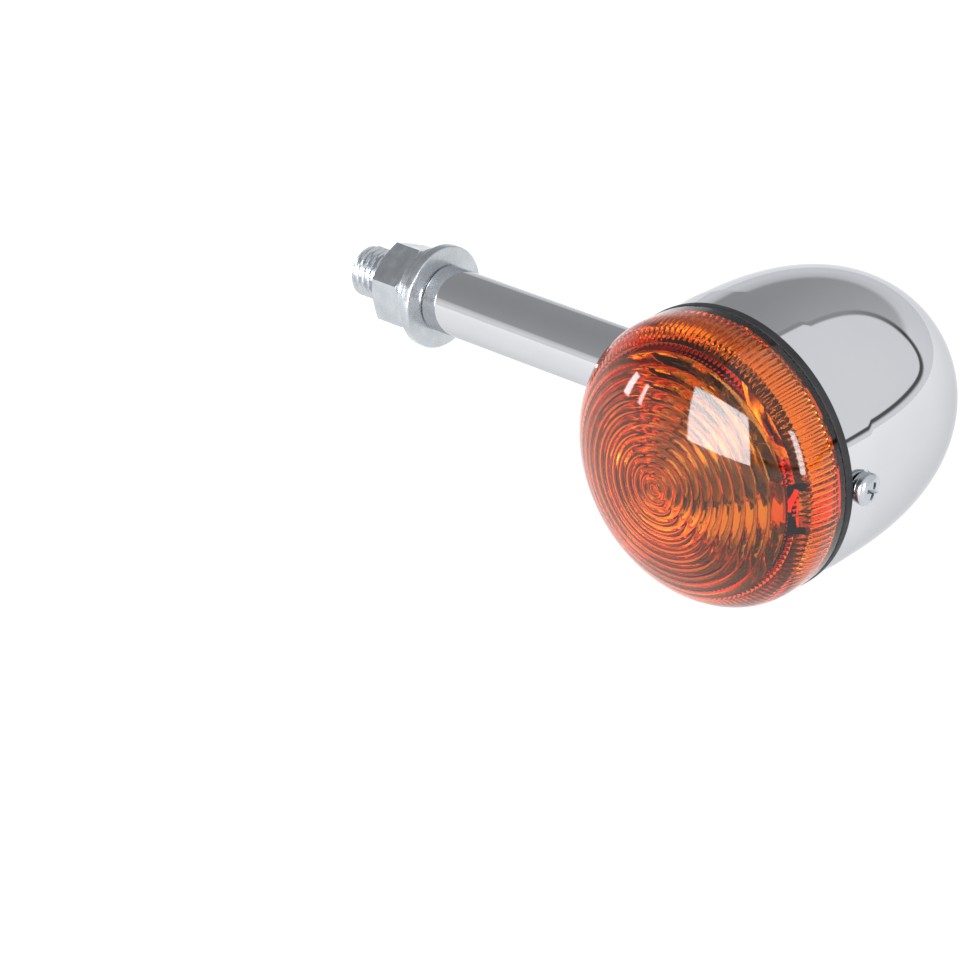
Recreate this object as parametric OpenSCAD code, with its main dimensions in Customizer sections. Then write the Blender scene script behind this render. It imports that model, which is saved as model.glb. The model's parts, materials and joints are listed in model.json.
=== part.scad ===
// Bullet turn signal for a motorcycle: chromed shell, ribbed amber lens and a hollow
// stem that bolts through a bracket. The origin is the centre of the stem's shoulder
// face, the seat that bears on the bracket. +X runs along the stem to the lamp, the
// lens faces -Y and +Z is up.

/* [Lamp] */
// Largest radius of the chromed shell
shell_r = 31.8; // [30:0.2:34]
// Radius of the shell at its front rim
rim_r = 30.6; // [30:0.1:31.5]
// Wall thickness of the shell
shell_wall = 1.8; // [1.4:0.1:2]
// Distance from the stem's axis back to the tip of the dome
dome_back = 43.2; // [42:0.2:48]
// Distance from the stem's axis forward to the shell's rim
rim_front = 16.4; // [16:0.1:18]
// Distance from the stem's axis forward to the widest part of the shell
belly_front = 8.9; // [7:0.1:10]

/* [Lens] */
// Radius of the lens flange and of the gasket
lens_r = 32.0; // [31.6:0.1:33]
// Thickness of the rubber gasket
gasket_t = 2.2; // [1.5:0.1:2.5]
// Height of the lens's ribbed side wall above its flange
lens_side = 5.3; // [4:0.1:7]
// Height of the lens's dome above its side wall
lens_dome = 18.0; // [16:0.5:20]
// Number of light-spreading steps inside the lens
lens_rings = 12; // [8:1:16]

/* [Stem and stud] */
// Length of the bright stem from its shoulder to the shell
stem_l = 66; // [50:1:100]
// Outer diameter of the stem
stem_d = 15.4; // [15:0.1:17]
// Major diameter of the hollow mounting stud
stud_d = 12; // [12:1:12]
// Diameter of the wire bore through the stud
wire_d = 8; // [6:0.5:8]
// Length of the stud beyond the shoulder
stud_l = 24.5; // [22:0.5:30]

/* [Fasteners] */
// Thickness of the flat washer
flat_t = 2.5; // [2:0.1:3]
// Thickness of the split spring washer
lock_t = 2.7; // [2.2:0.1:3]
// Width across flats of the mounting nut
nut_af = 18; // [18:1:19]
// Thickness of the mounting nut
nut_t = 9; // [8:0.5:9]
// Angle of the mounting nut about the stud
nut_turn = 7; // [0:1:59]
// Distance from the stem's axis forward to the lens screw
screw_front = 13; // [12.6:0.1:13]

/* [Bulb] */
// Radius of the bulb's glass globe
globe_r = 12.5; // [9:0.5:13]
// Distance from the stem's axis forward to the globe's centre
globe_front = 15.5; // [14:0.5:17]

/* [Hidden] */
$fn = 96;

chrome = [0.86, 0.87, 0.9];
zinc = [0.72, 0.75, 0.8];
brass = [0.8, 0.65, 0.35];
rubber = [0.06, 0.06, 0.07];
amber = [0.9, 0.35, 0.05, 0.7];
clear_glass = [0.9, 0.93, 0.95, 0.5];

eps = 0.01;
lamp_x = stem_l + shell_r;          // the lamp's own axis
dome_p = 2.64;                      // powers of the dome's superellipse outline
dome_q = 2.13;
boss_x = -24;                       // seat of the stem's nut, from the lamp's axis
boss_r = 9.5;
spigot_r = 5;
nut_hole_r = stud_d / 2 + 0.05;     // running fit on the stud
flange_z = rim_front + gasket_t;    // lens flange
dome_z = flange_z + lens_side;      // foot of the lens's dome
lens_t = 2.3;
spigot_out = rim_r - shell_wall - 0.3;
spigot_in = spigot_out - 1.8;
corner_r = spigot_in;               // inner corner between side wall and dome
socket_r = 7.75;                    // bayonet socket for a 15 mm cap
socket_out = 8.6;
slot_w = 2.6;
slot_run = 50;                      // turn of the bayonet from its entry slot
pin_z = -15.8;                      // the bulb's pins, from the stem's axis
pin_turn = 25;
cap_r = 7.45;
bracket_z = -16.5;
sheet = 1.5;
screw_seat = 31.1;                  // flat under the lens screw, from the lamp's axis
screw_r = 2;

// Lamp axes: z forward through the lens, y up, x away from the stem.
module lamp() translate([lamp_x, 0, 0]) rotate([90, 0, 0]) children();

// A body of revolution about the stem's axis from [radius, x] points.
module on_stem() rotate([0, 90, 0]) rotate_extrude() children();

// A cylinder along x, from x0 to x1.
module bar_x(r, x0, x1) translate([x0, 0, 0]) rotate([0, 90, 0]) cylinder(r = r, h = x1 - x0);

// A ring between two heights.
module ring(r_in, r_out, z0, z1) translate([0, 0, z0]) difference() {
    cylinder(r = r_out, h = z1 - z0);
    translate([0, 0, -1]) cylinder(r = r_in, h = z1 - z0 + 2);
}

// Outline of the bullet shell from rim to tip, drawn in by an even thickness.
function bullet(inset) = concat(
    [[rim_r - inset, rim_front]],
    [for (t = [0 : 5 : 90])
        let (s = sin(t), depth = belly_front + dome_back - inset)
        [(shell_r - inset) * pow(max(0, 1 - pow(s, dome_p)), 1 / dome_q), belly_front - depth * s]]
);

// A helical wire about z, swept as one mesh.
module helix(radius, wire, height, turns, steps = 16, sides = 6) {
    n = turns * steps;
    points = [for (i = [0 : n], j = [0 : sides - 1])
        let (a = 360 * i / steps, b = 360 * j / sides, r = radius + wire * cos(b))
        [r * cos(a), r * sin(a), wire + (height - 2 * wire) * i / n + wire * sin(b)]];
    walls = [for (i = [0 : n - 1], j = [0 : sides - 1])
        let (k = (j + 1) % sides)
        [i * sides + j, i * sides + k, (i + 1) * sides + k, (i + 1) * sides + j]];
    ends = [[for (j = [sides - 1 : -1 : 0]) j], [for (j = [0 : sides - 1]) n * sides + j]];
    polyhedron(points = points, faces = concat(walls, ends), convexity = 10);
}

// A hexagon prism with turned corners, standing on z = 0.
module hexagon(flats, height, bore, chamfer) {
    corner = flats / sqrt(3);
    difference() {
        intersection() {
            cylinder(r = corner, h = height, $fn = 6);
            rotate_extrude() polygon([
                [0, 0], [flats / 2 * 0.98, 0], [corner, chamfer],
                [corner, height - chamfer], [flats / 2 * 0.98, height], [0, height]
            ]);
        }
        translate([0, 0, -1]) cylinder(r = bore, h = height + 2);
        for (z = [0, height]) translate([0, 0, z]) mirror([0, 0, z > 0 ? 1 : 0])
            translate([0, 0, -eps]) cylinder(r1 = bore + 0.6, r2 = bore, h = 0.6);
    }
}

// ---- lamp shell and lens ----

module housing() color(chrome) lamp() difference() {
    union() {
        rotate_extrude() polygon(concat(bullet(0), [for (p = [len(bullet(0)) - 1 : -1 : 0])
            bullet(shell_wall)[p]]));
        bar_x(boss_r, -shell_r + 1.6, boss_x);
        bar_x(stem_d / 2 - 0.9, -shell_r, -shell_r + 1.6);
        // ledge that the lens's hook catches behind
        intersection() {
            ring(spigot_out - 0.6, shell_r - 1, rim_front - 4.4, rim_front - 2.4);
            translate([-shell_r, -8, 0]) cube([10, 16, rim_front]);
        }
    }
    bar_x(spigot_r, -shell_r - 1, boss_x + 1);
    translate([0, 0, screw_front]) {
        bar_x(screw_r + 0.3, shell_r - 6, shell_r + 2);
        bar_x(3.7, screw_seat, shell_r + 2);
    }
}

module gasket() color(rubber) lamp() rotate_extrude() polygon([
    [spigot_out + 0.1, rim_front], [lens_r - 0.3, rim_front], [lens_r, rim_front + 0.3],
    [lens_r, flange_z - 0.3], [lens_r - 0.3, flange_z], [spigot_out + 0.1, flange_z]
]);

// Height of the lens's inner dome at a radius.
function inner_dome(r) = dome_z + (lens_dome - lens_t) * sqrt(1 - pow(r / (lens_r - lens_t), 2));

module lens_bowl() {
    step = (corner_r - 1.4) / lens_rings;
    outside = [for (t = [0 : 5 : 90]) [lens_r * cos(t), dome_z + lens_dome * sin(t)]];
    // each step is a shallow cone with an upright riser at its outer edge
    steps = [for (i = [0 : lens_rings - 1])
        let (r = corner_r - 0.4 - step * i, h = inner_dome(r - step / 2))
        each [[r, h - 0.35], [r - step, h + 0.35]]];
    rotate_extrude() polygon(concat(
        [[spigot_in, rim_front - 2], [spigot_out, rim_front - 2], [spigot_out, flange_z],
            [lens_r - 0.2, flange_z]],
        outside, [[0, inner_dome(0)]], [for (i = [len(steps) - 1 : -1 : 0]) steps[i]],
        [[corner_r - 0.4, dome_z + 4.4], [spigot_in + 2, dome_z + 3], [spigot_in + 2.2, flange_z + 1]]
    ));
}

module lens() color(amber) lamp() difference() {
    union() {
        lens_bowl();
        // screw lug: a block round the captive nut, two cheeks and a root block at the dome
        difference() {
            union() {
                translate([22, -5.5, 8.6]) cube([5.6, 11, flange_z + 1.4 - 8.6]);
                for (y = [-5.5, 3.9]) translate([23, y, flange_z]) cube([4.6, 1.6, 9.6]);
                translate([22, -5.5, dome_z + 3.8]) cube([4.4, 11, 3]);
            }
            translate([23.7, -3.7, 8]) cube([3.1, 7.4, screw_front + 3.7 - 8]);
        }
        // hook tab beside the stem
        translate([-27, -6, rim_front - 6.4]) cube([1.8, 12, flange_z - rim_front + 6.6]);
        translate([-28.8, -6, rim_front - 6.4]) cube([2, 12, 1.9]);
    }
    translate([0, 0, screw_front]) bar_x(screw_r + 0.3, 20, 30);
}

module lens_nut() color(zinc) lamp() translate([23.8, 0, screw_front]) difference() {
    translate([0, -3.5, -3.5]) cube([2.9, 7, 7]);
    bar_x(screw_r + 0.05, -1, 4);
}

module screw_lock_washer() color(zinc) lamp() translate([0, 0, screw_front]) difference() {
    bar_x(3.3, screw_seat, screw_seat + 1);
    bar_x(screw_r + 0.3, screw_seat - 1, screw_seat + 2);
    translate([screw_seat - 1, -0.3, 0]) rotate([-25, 0, 0]) cube([3, 0.6, 5]);
}

module lens_screw() color(zinc) lamp()
    translate([screw_seat + 1, 0, screw_front]) rotate([0, 90, 0]) difference() {
        union() {
            rotate_extrude() polygon(concat([[0, 0], [3.5, 0], [3.5, 0.9]],
                [for (t = [15 : 15 : 90]) [3.5 * cos(t), 0.9 + 1.5 * sin(t)]]));
            translate([0, 0, -11.2]) cylinder(r = screw_r, h = 11.3);
            translate([0, 0, -12]) cylinder(r1 = screw_r - 0.8, r2 = screw_r, h = 0.8);
        }
        for (a = [20, 110]) rotate(a) translate([-1.9, -0.45, 1]) cube([3.8, 0.9, 3]);
    }

// ---- stem and mounting hardware ----

module stem() color(chrome) on_stem() polygon([
    [stud_d / 2, 0], [stem_d / 2 - 0.4, 0], [stem_d / 2, 0.4],
    [stem_d / 2, stem_l - 0.8], [stem_d / 2 - 0.8, stem_l], [spigot_r, stem_l],
    [spigot_r, stem_l + 15.8], [spigot_r - 0.5, stem_l + 16.3], [3.5, stem_l + 16.3],
    [3.5, stem_l], [4.5, stem_l - 1], [4.5, 16.5], [stud_d / 2, 16.5]
]);

module mounting_stud() color(zinc) difference() {
    r = stud_d / 2;
    // a groove one thread wide ends the stretch that the nut covers
    groove = -(flat_t + lock_t + nut_t + 0.5);
    on_stem() polygon([
        [wire_d / 2, -stud_l], [r - 1, -stud_l], [r, -stud_l + 1],
        [r, groove - 0.8], [r - 0.7, groove - 0.8], [r - 0.7, groove],
        [r, groove], [r, 16.5], [wire_d / 2, 16.5]
    ]);
}

module flat_washer() color(zinc) on_stem() polygon([
    [stud_d / 2 + 0.5, -flat_t], [11.6, -flat_t], [12, -flat_t + 0.4],
    [12, -0.4], [11.6, 0], [stud_d / 2 + 0.5, 0]
]);

module lock_washer() color(zinc) difference() {
    x = -flat_t - lock_t;
    on_stem() polygon([
        [stud_d / 2 + 0.3, x], [10.2, x], [10.5, x + 0.3],
        [10.5, -flat_t - 0.3], [10.2, -flat_t], [stud_d / 2 + 0.3, -flat_t]
    ]);
    // the cut lies at a slant across the ring
    translate([x + lock_t / 2, -8.5, 0]) rotate([0, 30, 0]) cube([6, 6, 1.2], center = true);
}

module hex_nut() color(zinc) translate([-flat_t - lock_t - nut_t, 0, 0])
    rotate([nut_turn, 0, 0]) rotate([90, 0, 90])
        hexagon(nut_af, nut_t, nut_hole_r, 1);

module stem_star_washer() color(zinc) lamp() translate([boss_x + sheet, 0, 0])
    rotate([0, 90, 0]) difference() {
        ring(spigot_r + 0.1, 9, 0, 0.8);
        for (a = [0 : 30 : 359]) rotate(a) translate([7.4, -0.6, -1]) cube([3, 1.2, 3]);
    }

module stem_nut() color(zinc) lamp() translate([boss_x + sheet + 0.8, 0, 0])
    rotate([0, 90, 0]) hexagon(16, 5, spigot_r, 0.7);

module wire_grommet() color(rubber) on_stem() polygon([
    [2, stem_l + 12.8], [3.5, stem_l + 12.8], [3.5, stem_l + 16.3],
    [4.8, stem_l + 16.3], [4.8, stem_l + 17.5], [2, stem_l + 17.5]
]);

// ---- bulb holder ----

module bulb_bracket() color(zinc) lamp() difference() {
    union() {
        translate([boss_x, -8, bracket_z]) cube([sheet, 16, 9.2 - bracket_z]);
        translate([boss_x, -8, bracket_z]) cube([-boss_x, 16, sheet]);
        translate([0, 0, bracket_z]) cylinder(r = 13.5, h = sheet);
    }
    bar_x(spigot_r + 0.1, boss_x - 1, boss_x + 3);
    translate([0, 0, bracket_z - 1]) cylinder(r = socket_out, h = 4);
    for (y = [-11, 11]) translate([0, y, bracket_z - 1]) cylinder(r = 1.2, h = 4);
}

module socket_shell() color(zinc) lamp() difference() {
    front = bracket_z + sheet;
    union() {
        rotate_extrude() polygon([
            [5, -36], [socket_out, -36], [socket_out, -9],
            [socket_r, -9], [socket_r, -35.2], [5, -35.2]
        ]);
        intersection() {
            ring((socket_r + socket_out) / 2, 13.5, front, front + 1);
            translate([-6, -20, -20]) cube([12, 40, 10]);
        }
    }
    for (a = [0, 180]) rotate(a + pin_turn) {
        // entry slot, run and rest notch of the bayonet
        rotate(-slot_run) translate([0, -slot_w / 2, -18.9]) cube([9, slot_w, 12]);
        rotate(-slot_run) translate([0, 0, -19.1]) rotate_extrude(angle = slot_run)
            translate([socket_r - 0.5, 0]) square([1.6, slot_w]);
        translate([0, -slot_w / 2, -19]) cube([9, slot_w, 19 + pin_z + 1.3]);
    }
    for (y = [-11, 11]) translate([0, y, front - 1]) cylinder(r = 1.2, h = 4);
}

module socket_rivets() color(zinc) lamp() for (y = [-11, 11]) translate([0, y, bracket_z]) {
    translate([0, 0, -0.8]) cylinder(r = 2.1, h = 0.8);
    cylinder(r = 1.2, h = sheet + 1);
    translate([0, 0, sheet + 1]) cylinder(r = 2.1, h = 0.8);
}

module contact_plunger() color(brass) lamp() {
    translate([0, 0, -25.3]) cylinder(r = 3, h = 1);
    translate([0, 0, -30.8]) cylinder(r = 1.5, h = 5.6);
}

module plunger_disc() color("sienna") lamp() ring(1.5, cap_r, -26.8, -25.3);

module contact_spring() color(zinc) lamp() translate([0, 0, -33.5])
    helix(radius = 3.6, wire = 0.4, height = 6.7, turns = 4);

module rear_insulator() color("sienna") lamp() ring(1, socket_r, -35.2, -34);

module terminal_tab() color(brass) lamp() {
    translate([0, 0, -34]) cylinder(r = 5, h = 0.5);
    translate([0, 0, -35.2]) cylinder(r = 1, h = 1.3);
    translate([-3.15, -0.4, -40.2]) cube([6.3, 0.8, 5]);
}

// ---- bulb ----

module bulb_cap() color(brass) lamp() rotate_extrude() polygon([
    [4, -22.5], [6.95, -22.5], [cap_r, -22], [cap_r, -3.5], [7, -3.5], [7, -21.9], [4, -21.9]
]);

module bayonet_pins() color(brass) lamp() for (a = [0, 180])
    rotate(a + pin_turn) translate([0, 0, pin_z]) bar_x(1, cap_r, 8.3);

module base_insulator() color([0.1, 0.08, 0.12]) lamp() ring(1.6, 4, -23.2, -21.5);

module base_contact() color([0.6, 0.6, 0.62]) lamp() {
    translate([0, 0, -23.4]) cylinder(r = 1.6, h = 1.9);
    translate([0, 0, -23.4]) rotate_extrude() intersection() {
        translate([0, 1.83]) circle(r = 2.43);
        translate([0, -2]) square([3, 2 + eps]);
    }
}

// Outline of the globe and its neck, drawn in by a thickness.
module globe(inset) {
    r = globe_r - inset;
    neck = 6.9 - inset;
    foot = asin(neck / r);
    polygon(concat([[0, -6], [neck, -6]],
        [for (t = [0 : 6 : 180 - foot]) let (a = 180 - foot - t) [r * sin(a), globe_front + r * cos(a)]],
        [[0, globe_front + r]]));
}

module bulb_glass() color(clear_glass) lamp() rotate_extrude() difference() {
    globe(0);
    globe(0.7);
}

module glass_mount() color(clear_glass) lamp() {
    translate([0, 0, -5]) cylinder(r1 = 5.5, r2 = 2.6, h = 6);
    translate([-2.6, -1, 0.5]) cube([5.2, 2, 4]);
}

module support_wires() color(zinc) lamp() for (side = [-1, 1])
    translate([side * 2, 0, 4.5]) rotate([0, side * 14, 0])
        cylinder(r = 0.3, h = globe_front - 4, $fn = 24);

module filament() color(zinc) lamp() translate([-4.2, 0, globe_front]) rotate([0, 90, 0])
    helix(radius = 0.7, wire = 0.16, height = 8.4, turns = 12, steps = 12);

housing();
gasket();
lens();
lens_nut();
screw_lock_washer();
lens_screw();
stem();
mounting_stud();
flat_washer();
lock_washer();
hex_nut();
stem_star_washer();
stem_nut();
wire_grommet();
bulb_bracket();
socket_shell();
socket_rivets();
contact_plunger();
plunger_disc();
contact_spring();
rear_insulator();
terminal_tab();
bulb_cap();
bayonet_pins();
base_insulator();
base_contact();
bulb_glass();
glass_mount();
support_wires();
filament();
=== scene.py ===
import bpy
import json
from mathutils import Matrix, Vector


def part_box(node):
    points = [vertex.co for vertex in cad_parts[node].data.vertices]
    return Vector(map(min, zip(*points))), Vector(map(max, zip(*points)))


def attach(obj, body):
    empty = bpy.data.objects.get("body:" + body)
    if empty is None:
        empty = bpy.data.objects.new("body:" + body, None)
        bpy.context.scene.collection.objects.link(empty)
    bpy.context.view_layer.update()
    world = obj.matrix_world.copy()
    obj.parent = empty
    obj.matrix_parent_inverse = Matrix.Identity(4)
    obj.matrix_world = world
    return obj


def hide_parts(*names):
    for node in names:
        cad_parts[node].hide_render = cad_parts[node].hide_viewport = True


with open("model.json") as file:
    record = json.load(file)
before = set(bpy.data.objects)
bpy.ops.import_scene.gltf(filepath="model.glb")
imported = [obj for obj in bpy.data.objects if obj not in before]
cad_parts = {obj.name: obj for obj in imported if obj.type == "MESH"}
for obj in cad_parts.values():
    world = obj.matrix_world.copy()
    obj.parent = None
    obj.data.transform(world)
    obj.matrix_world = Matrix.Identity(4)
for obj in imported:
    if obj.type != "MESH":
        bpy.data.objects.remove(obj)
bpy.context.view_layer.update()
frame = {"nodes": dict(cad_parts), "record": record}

import json
import math
import bmesh
import bpy
from mathutils import Euler, Vector

MM = 0.001
TAU = 2 * math.pi
ON_AXIS = 1e-9                      # a radius smaller than this counts as none

# ---- places, from the frame ----

lens_lo, lens_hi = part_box("lens")
stem_lo, stem_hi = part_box("stem")
stud_lo, stud_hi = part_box("mounting_stud")
flat_lo, flat_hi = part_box("flat_washer")
lock_lo, lock_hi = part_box("lock_washer")
nut_lo, nut_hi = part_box("hex_nut")
gasket_lo, gasket_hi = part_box("gasket")
shell_lo, shell_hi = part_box("housing")
screw_lo, screw_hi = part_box("lens_screw")
spring_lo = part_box("screw_lock_washer")[0]
globe_lo, globe_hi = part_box("bulb_glass")

LAMP = Vector(((lens_lo.x + lens_hi.x) / 2, 0, 0))     # the lamp's own axis, along Y
LENS_R = (lens_hi.z - lens_lo.z) / 2
SHELL_R = (shell_hi.z - shell_lo.z) / 2
STEM_R = (stem_hi.z - stem_lo.z) / 2
STUD_R = (stud_hi.z - stud_lo.z) / 2
STUD_L = -stud_lo.x
APEX = -lens_lo.y
FLANGE = -gasket_lo.y
RIM = -gasket_hi.y
DOME_BACK = shell_hi.y
STEM_L = LAMP.x - SHELL_R
SCREW_FRONT = -(screw_lo.y + screw_hi.y) / 2
SCREW_SEAT = spring_lo.x - LAMP.x


# ---- mesh helpers ----

def from_lamp(p):
    """Lamp axes (x away from the stem, y up, z forward through the lens) to the row frame."""
    return Vector((LAMP.x + p[0], -p[2], p[1]))


def from_stem(p):
    """Stem axes (z along the stem towards the lamp) to the row frame."""
    return Vector((p[2], p[0], p[1]))


def at_screw(p):
    """Screw axes (z out along the screw from its seat on the shell) to the row frame.

    x points towards the front of the lens, so this mirrors: a thread placed by it is left-handed.
    """
    return Vector((LAMP.x + SCREW_SEAT + p[2], -SCREW_FRONT - p[0], p[1]))


def finish_mesh(name, verts, faces, sharp):
    """A named object from vertices and faces, outward-facing and smooth up to an angle."""
    mesh = bpy.data.meshes.new(name)
    mesh.from_pydata([tuple(v) for v in verts], [], faces)
    bm = bmesh.new()
    bm.from_mesh(mesh)
    bmesh.ops.remove_doubles(bm, verts=bm.verts, dist=1e-7)
    bmesh.ops.recalc_face_normals(bm, faces=bm.faces)
    bm.to_mesh(mesh)
    bm.free()
    smooth(mesh, sharp)
    obj = bpy.data.objects.new(name, mesh)
    bpy.context.scene.collection.objects.link(obj)
    return obj


def smooth(mesh, sharp):
    """Smooth shading, broken at edges sharper than an angle in degrees."""
    mesh.polygons.foreach_set("use_smooth", [True] * len(mesh.polygons))
    mesh.set_sharp_from_angle(angle=math.radians(sharp))


def revolve(name, outline, place, steps, sharp, radius=None):
    """A closed outline of (radius, height) turned about an axis. radius(r, h, angle) may vary it."""
    verts, faces = [], []
    n = len(outline)
    for i in range(steps):
        a = TAU * i / steps
        for r, h in outline:
            rr = radius(r, h, a) if radius else r
            verts.append(place((rr * math.cos(a), rr * math.sin(a), h)))
    for i in range(steps):
        j = (i + 1) % steps
        for k in range(n):
            m = (k + 1) % n
            if outline[k][0] < ON_AXIS and outline[m][0] < ON_AXIS:
                continue
            faces.append((i * n + k, i * n + m, j * n + m, j * n + k))
    return finish_mesh(name, verts, faces, sharp)


def rounded(points, radius, segments=4):
    """A closed outline with its corners rounded. A point (r, h, False) is a corner that stays sharp."""
    out = []
    n = len(points)
    for i, p in enumerate(points):
        here = Vector(p[:2])
        if len(p) > 2:
            out.append(tuple(here))
            continue
        before = (Vector(points[i - 1][:2]) - here).normalized()
        after = (Vector(points[(i + 1) % n][:2]) - here).normalized()
        for k in range(segments + 1):
            t = k / segments
            a = here + before * radius * (1 - t) ** 2 + after * radius * t ** 2
            out.append(tuple(a))
    return out


def cut(obj, *cutters, sharp, operation="DIFFERENCE"):
    """Booleans applied to the mesh, and the cutters deleted."""
    for c in cutters:
        m = obj.modifiers.new("cut", "BOOLEAN")
        m.operation = operation
        m.solver = "MANIFOLD"
        m.object = c
    dg = bpy.context.evaluated_depsgraph_get()
    mesh = bpy.data.meshes.new_from_object(obj.evaluated_get(dg))
    obj.modifiers.clear()
    obj.data = mesh
    smooth(mesh, sharp)
    for c in cutters:
        bpy.data.objects.remove(c)


def block(name, xs, ys, zs):
    """A box in the lamp's axes, each side given as (low, high). It serves as a lug or a cutter."""
    verts = [from_lamp((x, y, z)) for x in xs for y in ys for z in zs]
    faces = [(0, 1, 3, 2), (4, 6, 7, 5), (0, 4, 5, 1), (2, 3, 7, 6), (0, 2, 6, 4), (1, 5, 7, 3)]
    return finish_mesh(name, verts, faces, 30)


def rod(name, radii, heights, place, steps):
    """A stepped rod along z, as a boss or a drill. Each radius holds from one height to the next."""
    outline = [(0, heights[0])]
    for k, r in enumerate(radii):
        outline += [(r, heights[k]), (r, heights[k + 1])]
    return revolve(name, outline + [(0, heights[-1])], place, steps, 30)


THREAD_ROWS = 10                    # rows of vertices in one turn of a thread
THREAD_ROOT, THREAD_FLANK = 0.16, 0.66      # shares of half a pitch: flat root, then sloping flank


def thread(name, place, r, pitch, start, end, depth, chamfer, steps, bore=0):
    """A threaded rod or tube along z, chamfered at its start. It is right-handed before it is placed."""

    def groove(h, a):
        phase = (h / pitch - a / TAU) % 1.0
        crest = abs(phase * 2 - 1)
        return depth * (1 - min(1, max(0, (crest - THREAD_ROOT) / THREAD_FLANK)))

    rows = int((end - start) / pitch * THREAD_ROWS)
    heights = [start + (end - start) * i / rows for i in range(rows + 1)]
    n = len(heights) + 2
    verts, faces = [], []
    for i in range(steps):
        a = TAU * i / steps
        x, y = math.cos(a), math.sin(a)
        verts.append(place((bore * x, bore * y, start)))
        for h in heights:
            rr = min(r - max(0, chamfer - (h - start)), r - groove(h, a))
            verts.append(place((rr * x, rr * y, h)))
        verts.append(place((bore * x, bore * y, end)))
    for i in range(steps):
        j = (i + 1) % steps
        for k in range(n - 1):
            faces.append((i * n + k, i * n + k + 1, j * n + k + 1, j * n + k))
        if bore:
            faces.append((i * n + n - 1, i * n, j * n, j * n + n - 1))
    return finish_mesh(name, verts, faces, 50)


# ---- material helpers ----

class Look:
    """A material under construction: its nodes, and short ways to add more."""

    def __init__(self, name, color, roughness, metallic=0.0):
        self.mat = bpy.data.materials.new(name)
        self.mat.use_nodes = True
        self.tree = self.mat.node_tree
        self.shader = self.tree.nodes["Principled BSDF"]
        self.out = self.tree.nodes["Material Output"]
        self.set("Base Color", (*color, 1))
        self.set("Roughness", roughness)
        self.set("Metallic", metallic)
        coords = self.tree.nodes.new("ShaderNodeTexCoord")
        self.place = coords.outputs["Object"]

    def set(self, socket, value):
        self.shader.inputs[socket].default_value = value

    def link(self, a, b):
        self.tree.links.new(a, b)

    def noise(self, scale, detail=3, stretch=None):
        n = self.tree.nodes.new("ShaderNodeTexNoise")
        n.inputs["Scale"].default_value = scale
        n.inputs["Detail"].default_value = detail
        n.inputs["Roughness"].default_value = 0.55
        place = self.place
        if stretch:
            m = self.tree.nodes.new("ShaderNodeMapping")
            m.inputs["Scale"].default_value = stretch
            self.link(place, m.inputs["Vector"])
            place = m.outputs["Vector"]
        self.link(place, n.inputs["Vector"])
        return n.outputs["Fac"]

    def ramp(self, value, low, high, first=0.0, last=1.0):
        m = self.tree.nodes.new("ShaderNodeMapRange")
        m.clamp = True
        for key, v in (("From Min", low), ("From Max", high), ("To Min", first), ("To Max", last)):
            m.inputs[key].default_value = v
        self.link(value, m.inputs["Value"])
        return m.outputs["Result"]

    def blend(self, value, first, second):
        m = self.tree.nodes.new("ShaderNodeMix")
        m.data_type = "RGBA"
        m.inputs[6].default_value = (*first, 1)
        m.inputs[7].default_value = (*second, 1)
        self.link(value, m.inputs[0])
        return m.outputs[2]

    def to(self, socket, value):
        self.link(value, self.shader.inputs[socket])

    def cloud(self, noise, first, second, low=0.3, high=0.7):
        """Colour that drifts between two shades."""
        self.to("Base Color", self.blend(self.ramp(noise, low, high), first, second))

    def polish(self, noise, smoothest, roughest, low=0.3, high=0.7):
        """Roughness that drifts between two values."""
        self.to("Roughness", self.ramp(noise, low, high, smoothest, roughest))

    def bump(self, value, distance, strength):
        b = self.tree.nodes.new("ShaderNodeBump")
        b.inputs["Strength"].default_value = strength
        b.inputs["Distance"].default_value = distance
        self.link(value, b.inputs["Height"])
        self.to("Normal", b.outputs["Normal"])


def make_chrome(name="chrome", level=1.0):
    dark, light = (0.585, 0.59, 0.61), (0.62, 0.625, 0.64)
    look = Look(name, (0.60, 0.605, 0.62), 0.03, 1.0)
    look.set("Specular Tint", (0.74, 0.74, 0.76, 1))
    look.polish(look.noise(90, 4), 0.015, 0.05, 0.35, 0.75)
    look.cloud(look.noise(25), tuple(level * c for c in dark), tuple(level * c for c in light))
    look.bump(look.noise(45, 2), 0.02 * MM, 0.25)
    return look.mat


def make_zinc():
    base = (0.55, 0.58, 0.61)
    look = Look("zinc", base, 0.26, 1.0)
    look.cloud(look.noise(160, 5), tuple(c * 0.82 for c in base), base)
    look.polish(look.noise(420, 4), 0.18, 0.36)
    look.bump(look.noise(900, 4), 0.03 * MM, 0.5)
    return look.mat


def make_steel():
    look = Look("pressed_steel", (0.66, 0.65, 0.64), 0.3, 1.0)
    look.cloud(look.noise(120, 5), (0.58, 0.57, 0.56), (0.74, 0.73, 0.72))
    look.polish(look.noise(300), 0.2, 0.36)
    look.bump(look.noise(600, 3, (1, 8, 1)), 0.03 * MM, 0.5)
    return look.mat


def make_rubber():
    look = Look("black_rubber", (0.008, 0.008, 0.01), 0.6)
    look.cloud(look.noise(200, 4), (0.005, 0.005, 0.007), (0.013, 0.013, 0.016))
    look.polish(look.noise(500), 0.55, 0.75)
    look.bump(look.noise(1600), 0.05 * MM, 0.6)
    return look.mat


def make_amber():
    look = Look("amber_polycarbonate", (1.0, 0.72, 0.22), 0.02)
    look.set("Transmission Weight", 1.0)
    look.set("Specular IOR Level", 0.32)
    look.set("IOR", 1.5)
    look.polish(look.noise(260, 4), 0.0, 0.05, 0.35, 0.75)
    look.bump(look.noise(120, 2), 0.02 * MM, 0.2)
    depth = look.tree.nodes.new("ShaderNodeVolumeAbsorption")
    depth.inputs["Color"].default_value = (0.995, 0.56, 0.08, 1)
    depth.inputs["Density"].default_value = 400
    look.link(depth.outputs["Volume"], look.out.inputs["Volume"])
    return look.mat


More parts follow.
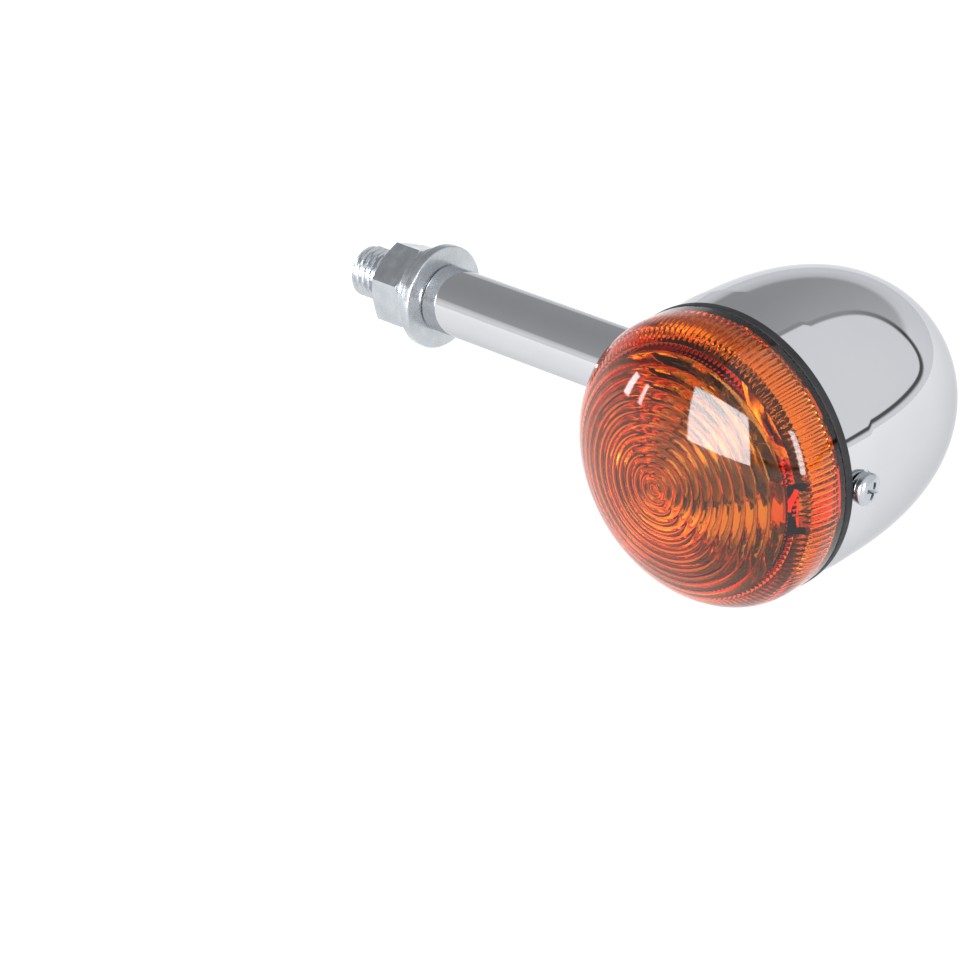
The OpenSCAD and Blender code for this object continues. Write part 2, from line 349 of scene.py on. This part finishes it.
def make_brass():
    look = Look("brass", (0.75, 0.55, 0.25), 0.25, 1.0)
    look.cloud(look.noise(150, 4), (0.62, 0.43, 0.18), (0.80, 0.62, 0.32))
    look.polish(look.noise(500), 0.2, 0.38)
    look.bump(look.noise(700), 0.02 * MM, 0.4)
    return look.mat


def make_fibre():
    look = Look("phenolic_board", (0.22, 0.11, 0.05), 0.55)
    look.cloud(look.noise(260, 5, (1, 1, 6)), (0.15, 0.07, 0.03), (0.30, 0.16, 0.08), 0.35, 0.65)
    look.bump(look.noise(800), 0.04 * MM, 0.5)
    return look.mat


def make_bead():
    look = Look("black_glass_bead", (0.012, 0.01, 0.02), 0.12)
    look.polish(look.noise(400), 0.06, 0.2)
    look.cloud(look.noise(240), (0.008, 0.006, 0.014), (0.03, 0.025, 0.045))
    return look.mat


def make_solder():
    look = Look("solder", (0.55, 0.55, 0.57), 0.3, 1.0)
    look.cloud(look.noise(300, 4), (0.42, 0.42, 0.44), (0.62, 0.62, 0.64))
    look.bump(look.noise(500), 0.08 * MM, 0.5)
    return look.mat


def make_glass():
    look = Look("bulb_glass", (0.97, 0.985, 0.99), 0.0)
    look.set("Transmission Weight", 1.0)
    look.set("IOR", 1.5)
    look.polish(look.noise(180), 0.0, 0.03, 0.4, 0.8)
    look.bump(look.noise(90, 2), 0.02 * MM, 0.25)
    return look.mat


def make_tungsten():
    look = Look("tungsten", (0.3, 0.3, 0.31), 0.35, 1.0)
    look.cloud(look.noise(900), (0.2, 0.2, 0.21), (0.38, 0.38, 0.4))
    look.polish(look.noise(1200, 2), 0.28, 0.45)
    return look.mat


MATERIALS = {
    "chrome": make_chrome(), "zinc": make_zinc(), "stamped_steel": make_steel(),
    "rubber": make_rubber(), "amber_lens": make_amber(), "brass": make_brass(),
    "fibre": make_fibre(), "black_glass": make_bead(), "solder": make_solder(),
    "glass": make_glass(), "tungsten": make_tungsten(),
}


def add(obj, slot, body, *nodes):
    """Gives a new piece the material named by its slot and its body, and hides the CAD nodes that it
    stands for.
    """
    obj.data.materials.clear()
    obj.data.materials.append(MATERIALS[slot])
    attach(obj, body)
    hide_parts(*nodes)


for part in frame["record"]["subparts"]:
    node = frame["nodes"][part["node"]]
    node.data.materials.clear()
    node.data.materials.append(MATERIALS[part["material_slot"]])


# ---- shell, gasket and lens ----

DOME_P, DOME_Q = 2.64, 2.13         # powers of the shell's outline, as in the CAD
BELLY = 8.9 * MM                    # how far forward the shell is at its widest
RIM_R = SHELL_R - 1.2 * MM
RIM_EDGE = 0.25 * MM
WALL = 1.8 * MM
SCREW_HOLE = 2.3 * MM


def bullet(inset, count):
    """The shell's outline from rim to tip, drawn in by an even thickness."""
    points = [(RIM_R - inset, RIM)]
    for i in range(count + 1):
        s = math.sin(math.pi / 2 * i / count)
        r = (SHELL_R - inset) * max(0.0, 1 - s ** DOME_P) ** (1 / DOME_Q)
        points.append((r, BELLY - (BELLY + DOME_BACK - inset) * s))
    return points


def make_shell():
    outside = bullet(0, 64)
    inside = bullet(WALL, 40)
    lip = [(RIM_R - RIM_EDGE, RIM), (RIM_R, RIM - RIM_EDGE)]
    shell = revolve("shell", lip + outside[1:] + inside[::-1], from_lamp, 256, 30)
    seat_r, boss_r, spigot_hole, screw_seat = STEM_R - 0.9 * MM, 9.5 * MM, 5.03 * MM, 3.7 * MM
    boss = [STEM_L + 0.02 * MM, STEM_L + 2.8 * MM, STEM_L + 7.8 * MM]
    pads = rod("pads", [seat_r, boss_r], boss, from_stem, 96)
    cut(shell, pads, operation="UNION", sharp=30)
    bore = rod("bore", [spigot_hole], [STEM_L - 2 * MM, STEM_L + 12 * MM], from_stem, 96)
    way = rod("way", [SCREW_HOLE, screw_seat], [-4 * MM, 0, 3 * MM], at_screw, 64)
    cut(shell, bore, way, sharp=30)
    add(shell, "chrome", "lamp", "housing")
    paint_light_inside(shell)


def paint_light_inside(shell):
    """Painted light: the faces that look at the bulb get a brighter, lit copy of the chrome, so that the
    lens looks lit.
    """
    tip = 5 * MM                    # this near to the axis, only the shell's end wall is left
    # a lit copy of the chrome, 1.5 times brighter: painted light on the shell's inside
    shell.data.materials.append(make_chrome("chrome_painted_lit", 1.5))
    for face in shell.data.polygons:
        out = Vector((face.center.x - LAMP.x, 0, face.center.z))
        inward = face.normal.dot(out) < 0 or (out.length < tip and face.normal.y < 0)
        if inward and face.center.y > -RIM:
            face.material_index = 1


def make_gasket():
    r, r_in = (gasket_hi.z - gasket_lo.z) / 2, SHELL_R - 3.2 * MM
    outline = rounded([(r_in, RIM), (r, RIM), (r, FLANGE), (r_in, FLANGE)], 0.4 * MM)
    add(revolve("gasket_ring", outline, from_lamp, 256, 50), "rubber", "lamp", "gasket")


DOME_FOOT = FLANGE + 5.3 * MM       # where the lens's side wall turns into its dome
LENS_T = 2.3 * MM
CORNER_R = SHELL_R - 5.1 * MM       # inside of the lens's spigot
BAND_LO, BAND_HI = FLANGE + 1.2 * MM, DOME_FOOT + 3.4 * MM      # the ribbed band of the side wall
RIBS = 132
RIB_DEPTH = 0.7 * MM
RINGS = 12
RING_STEP = (CORNER_R - 1.2 * MM) / RINGS
RING_RISE = 0.28 * MM
RING_ARC = 0.8                      # 1 would make a ring's section a full half ellipse


def inner_dome(r):
    """How far forward the dome's smooth inside would be at a radius."""
    return DOME_FOOT + (APEX - DOME_FOOT - LENS_T) * math.sqrt(1 - (r / (LENS_R - LENS_T)) ** 2)


def ring(outer):
    """One rounded ring of the dome's inside, from its outer foot to its inner one."""
    foot = math.sqrt(1 - RING_ARC)
    points = []
    for k in range(9):
        t = 1 - k / 4
        r = outer - RING_STEP * (k / 8)
        bulge = RING_RISE * (math.sqrt(1 - RING_ARC * t * t) - foot) / (1 - foot)
        apart = 0.01 * MM if k == 8 else 0          # keeps clear of the next ring's first point
        points.append((r + apart, inner_dome(r) + 0.15 * MM - bulge))
    return points


def lens_outline():
    """The lens's section, from its spigot over the outside to the middle and back along the inside."""
    outside = [(LENS_R - 0.5 * MM, FLANGE), (LENS_R - 0.1 * MM, FLANGE + 0.3 * MM)]
    outside += [(LENS_R * math.cos(a), DOME_FOOT + (APEX - DOME_FOOT) * math.sin(a))
                for a in [math.pi / 2 * i / 60 for i in range(61)]]
    rings = [point for i in range(RINGS) for point in ring(CORNER_R - 0.4 * MM - RING_STEP * i)]
    side_r, draft = LENS_R - LENS_T, 0.6 * MM
    band = [(side_r, BAND_LO), (side_r, BAND_LO + 0.5 * MM)]
    band += [(side_r - draft * i / 6, BAND_LO + (BAND_HI - BAND_LO) * (0.1 + 0.8 * i / 6))
             for i in range(1, 7)]
    inner = [(CORNER_R + 0.6 * MM, BAND_HI + 0.4 * MM), (CORNER_R - 0.2 * MM, DOME_FOOT + 4.6 * MM)]
    spigot_r, spigot_end = CORNER_R + 1.8 * MM, RIM - 2 * MM
    spigot = [(CORNER_R, spigot_end), (spigot_r, spigot_end), (spigot_r, FLANGE)]
    root = [(CORNER_R, FLANGE + 0.8 * MM)]
    return spigot + outside + [(0, inner_dome(0))] + rings[::-1] + inner[::-1] + band[::-1] + root


def ribbed(r, h, a):
    """The radius of a point of the lens, drawn in between two ribs."""
    inside_wall = CORNER_R + 0.7 * MM < r < LENS_R - LENS_T + 1e-6
    if not (BAND_LO < h < BAND_HI and inside_wall):
        return r
    return r - RIB_DEPTH * abs(math.sin(RIBS / 2 * a)) ** 0.8


def lens_lug():
    """The boxes that take the lens screw: a lug with the nut's pocket, two cheeks and a root."""
    inner, outer, half, front = 22 * MM, 27.6 * MM, 5.5 * MM, FLANGE + 1.4 * MM
    cheek, nut = 1.6 * MM, 3.7 * MM
    lug = block("lug", (inner, outer), (-half, half), (8.6 * MM, front))
    cheeks = [block("cheek", (23 * MM, outer), (y, y + cheek), (front - 1 * MM, DOME_FOOT + 4.3 * MM))
              for y in (-half, half - cheek)]
    root = block("root", (inner, 26.4 * MM), (-half, half), (DOME_FOOT + 3.8 * MM, DOME_FOOT + 6.8 * MM))
    pocket = block("pocket", (23.7 * MM, 26.8 * MM), (-nut, nut), (8 * MM, SCREW_FRONT + nut))
    cut(lug, pocket, sharp=30)
    return [lug, *cheeks, root]


def lens_hook():
    """The tab opposite the lug, and the nib at its end."""
    half, end = 6 * MM, RIM - 6.4 * MM
    tab = block("tab", (-27 * MM, -25.2 * MM), (-half, half), (end, FLANGE + 0.2 * MM))
    nib = block("nib", (-28.8 * MM, -26.8 * MM), (-half, half), (end, RIM - 4.5 * MM))
    return [tab, nib]


def make_lens():
    lens = revolve("amber_lens", lens_outline(), from_lamp, RIBS * 4, 32, ribbed)
    cut(lens, *lens_lug(), *lens_hook(), operation="UNION", sharp=32)
    cut(lens, rod("way", [SCREW_HOLE], [-12 * MM, -3 * MM], at_screw, 40), sharp=32)
    add(lens, "amber_lens", "lamp", "lens")


make_shell()
make_gasket()
make_lens()


# ---- stem and mounting hardware ----

def make_stem():
    spigot, throat, bore = 5 * MM, 3.5 * MM, 4.5 * MM
    stud_end = 16.5 * MM
    outline = rounded([
        (STUD_R, 0), (STEM_R, 0), (STEM_R, STEM_L), (spigot, STEM_L, False),
        (spigot, stem_hi.x, False), (throat, stem_hi.x, False), (throat, STEM_L, False),
        (bore, STEM_L - 1 * MM, False), (bore, stud_end, False), (STUD_R, stud_end, False)
    ], 0.7 * MM, 5)
    add(revolve("bright_stem", outline, from_stem, 160, 50), "chrome", "lamp", "stem")


def make_stud():
    pitch = 1.75 * MM
    stud = thread("hollow_stud", from_stem, STUD_R, pitch, -STUD_L, stud_hi.x,
                  depth=0.95 * MM, chamfer=1.0 * MM, steps=120, bore=4 * MM)
    add(stud, "zinc", "lamp", "mounting_stud")


def make_flat_washer():
    hole, r = STUD_R + 0.5 * MM, (flat_hi.z - flat_lo.z) / 2
    section = [(hole, flat_lo.x), (r, flat_lo.x), (r, flat_hi.x), (hole, flat_hi.x)]
    washer = revolve("flat_washer_ring", rounded(section, 0.45 * MM), from_stem, 160, 50)
    add(washer, "zinc", "mount_washers", "flat_washer")


def split_ring(name, place, r_in, r_out, lo, hi, gap, slant, edge, steps):
    """A spring washer: a rounded square section swept round to a slanted cut."""
    section = rounded([(r_in, lo), (r_out, lo), (r_out, hi), (r_in, hi)], edge, 3)
    mid, n = (lo + hi) / 2, len(section)
    verts, faces = [], []
    for i in range(steps + 1):
        for r, h in section:
            a = gap / 2 + (TAU - gap) * i / steps + slant * (h - mid)
            verts.append(place((r * math.cos(a), r * math.sin(a), h)))
    for i in range(steps):
        for k in range(n):
            m = (k + 1) % n
            faces.append((i * n + k, i * n + m, (i + 1) * n + m, (i + 1) * n + k))
    faces += [tuple(range(n))[::-1], tuple(steps * n + k for k in range(n))]
    return finish_mesh(name, verts, faces, 45)


def make_lock_washer():
    r_in, r_out = STUD_R + 0.3 * MM, (lock_hi.z - lock_lo.z) / 2
    gap, slant = math.radians(8), math.radians(10.5) / (2.7 * MM)
    washer = split_ring("split_washer", from_stem, r_in, r_out, lock_lo.x, lock_hi.x,
                        gap, slant, 0.4 * MM, 90)
    add(washer, "zinc", "mount_washers", "lock_washer")


def make_nut():
    """The hexagon's side and chamfers come from one formula for radius against angle and height."""
    flats, turn = 9 * MM, math.radians(7)
    corner, face_r = flats / math.cos(math.pi / 6), flats * 0.97
    lo, hi = nut_lo.x, nut_hi.x - 0.02 * MM         # just clear of the split washer
    inner, bevel = STUD_R + 0.05 * MM, 0.7 * MM
    rise = (corner - face_r) * math.tan(math.radians(30))

    def side(r, h, a):
        if r < flats * 0.9:
            return r
        hexagon = flats / math.cos(((a - turn + math.pi / 6) % (math.pi / 3)) - math.pi / 6)
        return min(r, hexagon)

    chamfer = [(face_r + (corner - face_r) * i / 16, rise * i / 16) for i in range(17)]
    profile = [(r, lo + h) for r, h in chamfer]
    profile += [(corner, lo + rise + (hi - lo - 2 * rise) * i / 4) for i in range(1, 5)]
    profile += [(r, hi - h) for r, h in chamfer[-2::-1]]
    bore = [(inner + bevel, hi), (inner, hi - bevel), (inner, lo + bevel), (inner + bevel, lo)]
    nut = revolve("plated_nut", profile + bore, from_stem, 360, 14, side)
    add(nut, "zinc", "mount_nut", "hex_nut")


make_stem()
make_stud()
make_flat_washer()
make_lock_washer()
make_nut()


# ---- lens screw ----

HEAD_FOOT = 1 * MM                  # the head stands on its washer, which is this thick


def cross_arm(turn, high, low):
    """One blade of the cross recess, wider at its top than at its foot."""
    long, thick = 1.95 * MM, 0.42 * MM
    c, s = math.cos(math.radians(turn)), math.sin(math.radians(turn))
    verts = []
    for k, z in ((1.25, high), (0.45, low)):
        for sx, sy in ((-1, -1), (1, -1), (1, 1), (-1, 1)):
            x, y = sx * long * k, sy * thick * (0.55 + 0.45 * k)
            verts.append(at_screw((x * c - y * s, x * s + y * c, z)))
    faces = [(0, 1, 2, 3), (7, 6, 5, 4), (0, 4, 5, 1), (1, 5, 6, 2), (2, 6, 7, 3), (3, 7, 4, 0)]
    return finish_mesh("arm", verts, faces, 30)


def make_screw():
    head_r, edge, top, corner = 3.5 * MM, 0.9 * MM, 2.36 * MM, 0.15 * MM
    dome = [(head_r * math.cos(a) ** 0.75, HEAD_FOOT + edge + (top - edge) * math.sin(a))
            for a in [math.pi / 2 * i / 14 for i in range(15)]]
    foot = [(0, HEAD_FOOT), (head_r - corner, HEAD_FOOT), (head_r, HEAD_FOOT + corner)]
    head = revolve("pan_head_screw", foot + dome, at_screw, 96, 40)
    high, low = HEAD_FOOT + top + 0.5 * MM, HEAD_FOOT + top - 1.5 * MM
    cut(head, cross_arm(20, high, low), cross_arm(110, high, low), sharp=40)
    shank = thread("shank", at_screw, 2 * MM, 0.7 * MM, -11 * MM, HEAD_FOOT + 0.2 * MM,
                   depth=0.4 * MM, chamfer=0.5 * MM, steps=64)
    cut(head, shank, operation="UNION", sharp=40)
    add(head, "zinc", "lens_fixing_screw", "lens_screw")


def make_screw_washer():
    gap, slant = math.radians(10), math.radians(10) / MM
    washer = split_ring("small_split_washer", at_screw, 2.3 * MM, 3.3 * MM, 0.0, HEAD_FOOT,
                        gap, slant, 0.15 * MM, 48)
    add(washer, "zinc", "screw_washer", "screw_lock_washer")


make_screw()
make_screw_washer()


# ---- bulb ----

def make_bulb():
    r, neck, glass_t = (globe_hi.z - globe_lo.z) / 2, 6.9 * MM, 0.7 * MM
    centre, foot = -(globe_lo.y + r), -globe_hi.y

    def outline(inset):
        rr, nn = r - inset, neck - inset
        start = math.pi - math.asin(nn / rr)
        arc = []
        for i in range(41):
            a = start * (1 - i / 40)
            arc.append((rr * math.sin(a), centre + rr * math.cos(a)))
        return [(nn, foot + (arc[0][1] - foot) * k) for k in (0, 0.4, 0.8)] + arc

    glass = revolve("bulb_envelope", outline(0) + outline(glass_t)[::-1], from_lamp, 128, 60)
    add(glass, "glass", "bulb", "bulb_glass")


make_bulb()


# ---- room, light and camera ----

def make_floor():
    half, z = 3.0, min(lens_lo.z, shell_lo.z) - 0.2 * MM
    verts = [(x, y, z) for x, y in ((-half, -half), (half, -half), (half, half), (-half, half))]
    floor = finish_mesh("floor", verts, [(0, 1, 2, 3)], 30)
    look = Look("paper", (0.24, 0.24, 0.24), 0.9)
    look.set("Emission Color", (1, 1, 1, 1))
    look.set("Emission Strength", 0.86)
    look.polish(look.noise(60), 0.8, 0.95)
    floor.data.materials.append(look.mat)


def facing(azimuth, elevation):
    """A direction in the row frame: azimuth 0 points out in front of the lens, 90 points along +X."""
    a, e = math.radians(azimuth), math.radians(elevation)
    return Vector((math.sin(a) * math.cos(e), -math.cos(a) * math.cos(e), math.sin(e)))


class Sky:
    """The studio as painted directions: every level is a number made from the direction looked in."""

    def __init__(self, tree):
        self.tree = tree
        coords = tree.nodes.new("ShaderNodeTexCoord")
        self.look = coords.outputs["Generated"]

    def math(self, operation, a, b, c=0.0):
        n = self.tree.nodes.new("ShaderNodeMath")
        n.operation = operation
        for socket, value in zip(n.inputs, (a, b, c)):
            if isinstance(value, (int, float)):
                socket.default_value = value
            else:
                self.tree.links.new(value, socket)
        return n.outputs[0]

    def along(self, direction):
        """How far a direction looked in points along another, from -1 to 1."""
        n = self.tree.nodes.new("ShaderNodeVectorMath")
        n.operation = "DOT_PRODUCT"
        self.tree.links.new(self.look, n.inputs[0])
        n.inputs[1].default_value = direction
        return n.outputs["Value"]

    def levels(self, value, stops):
        """Straight lines between stops, each (value, level)."""
        n = self.tree.nodes.new("ShaderNodeFloatCurve")
        lo, hi = stops[0][0], stops[-1][0]
        m = self.tree.nodes.new("ShaderNodeMapRange")
        m.inputs["From Min"].default_value = lo
        m.inputs["From Max"].default_value = hi
        self.tree.links.new(value, m.inputs["Value"])
        self.tree.links.new(m.outputs["Result"], n.inputs["Value"])
        points = n.mapping.curves[0].points
        while len(points) < len(stops):
            points.new(0.5, 0.5)
        for p, (at, level) in zip(points, stops):
            p.location = ((at - lo) / (hi - lo), level)
            p.handle_type = "VECTOR"
        n.mapping.update()
        return n.outputs["Value"]

    def inside(self, *sides, soft=0.0):
        """How far a direction is inside several half-spaces, each (normal, offset). Above 0 is inside."""
        depth = None
        for normal, offset in sides:
            d = self.math("ADD", self.along(normal), offset)
            depth = d if depth is None else self.math("SMOOTH_MIN", depth, d, soft)
        return depth

    def window(self, azimuth, elevation, wide, tall, level):
        """A bright window: its middle, its half sizes as slopes, and its level."""
        middle = facing(azimuth, elevation)
        right = Vector((0, 0, 1)).cross(middle).normalized()
        up = middle.cross(right)
        sides = [((middle * slope + v).normalized(), 0.0)
                 for v, slope in ((right, wide), (-right, wide), (up, tall), (-up, tall))]
        shape = self.levels(self.inside(*sides), [(-0.01, 0.0), (0.01, 1.0)])
        return self.math("MULTIPLY", shape, level)


PANEL = (((0, 0, 1), -0.10), ((0.786, -0.334, 0.521), 0.0), ((1, 0, 0.05), 0.0))
PANEL_CORNER = 0.16                 # how softly the panel's sides run into each other
WINDOWS = (                         # azimuth and elevation, half width and height, level
    (0, 14, 0.36, 0.32, 14.0), (78, 14, 0.085, 0.27, 13.0),
    (-60, 7, 0.04, 0.10, 14.0), (-49, 7, 0.02, 0.09, 12.0),
)


def paint_studio(sky):
    """Walls, darker overhead and towards -X, with a lit panel in dark trim and four windows."""
    up, side = sky.along((0, 0, 1)), sky.along((1, 0, 0))
    rise = sky.levels(up, [(-1.0, 1.0), (0.0, 1.0), (0.25, 1.0), (0.31, 0.66), (0.6, 0.60), (1.0, 0.52)])
    side = sky.levels(side, [(-1.0, 0.62), (-0.5, 0.72), (0.1, 1.0), (1.0, 1.0)])
    above = sky.levels(up, [(-1.0, 0.0), (0.12, 0.0), (0.3, 1.0), (1.0, 1.0)])
    shade = sky.math("MULTIPLY", sky.math("SUBTRACT", side, 1.0), above)
    walls = sky.math("MULTIPLY", rise, sky.math("ADD", shade, 1.0))
    panel = sky.inside(*PANEL, soft=PANEL_CORNER)
    lit = sky.levels(panel, [(-0.012, 0.0), (0.006, 1.0)])
    trim = sky.levels(panel, [(-0.07, 1.0), (-0.045, 0.12), (-0.02, 0.12), (-0.008, 1.0)])
    low = sky.levels(up, [(-1.0, 1.0), (0.3, 1.0), (0.6, 0.3), (1.0, 0.2)])
    trim = sky.math("SUBTRACT", 1.0, sky.math("MULTIPLY", low, sky.math("SUBTRACT", 1.0, trim)))
    walls = sky.math("MULTIPLY", walls, trim)
    level = sky.math("ADD", sky.math("MULTIPLY", walls, sky.math("SUBTRACT", 1.0, lit)), lit)
    for window in WINDOWS:
        level = sky.math("ADD", level, sky.window(*window))
    return level


def make_world():
    """The painted studio, which the camera itself doesn't see: to its own rays the world is white."""
    world = bpy.data.worlds.new("studio")
    bpy.context.scene.world = world
    world.use_nodes = True
    tree = world.node_tree
    tree.nodes.clear()
    studio = tree.nodes.new("ShaderNodeBackground")
    studio.inputs["Color"].default_value = (0.965, 0.98, 1.0, 1)
    tree.links.new(paint_studio(Sky(tree)), studio.inputs["Strength"])
    plain = tree.nodes.new("ShaderNodeBackground")
    plain.inputs["Color"].default_value = (1, 1, 1, 1)
    path = tree.nodes.new("ShaderNodeLightPath")
    mix = tree.nodes.new("ShaderNodeMixShader")
    out = tree.nodes.new("ShaderNodeOutputWorld")
    tree.links.new(path.outputs["Is Camera Ray"], mix.inputs[0])
    tree.links.new(studio.outputs[0], mix.inputs[1])
    tree.links.new(plain.outputs[0], mix.inputs[2])
    tree.links.new(mix.outputs[0], out.inputs["Surface"])


def make_camera():
    data = bpy.data.cameras.new("camera")
    data.sensor_width = 36
    data.lens = 141.6
    camera = bpy.data.objects.new("camera", data)
    bpy.context.scene.collection.objects.link(camera)
    camera.location = LAMP + Vector((0.4451, -0.5610, 0.3547))
    camera.rotation_euler = Euler([math.radians(a) for a in (62.776, 1.279, 42.884)])
    bpy.context.scene.camera = camera


make_floor()
make_world()
make_camera()
bpy.context.scene.view_settings.view_transform = "Standard"
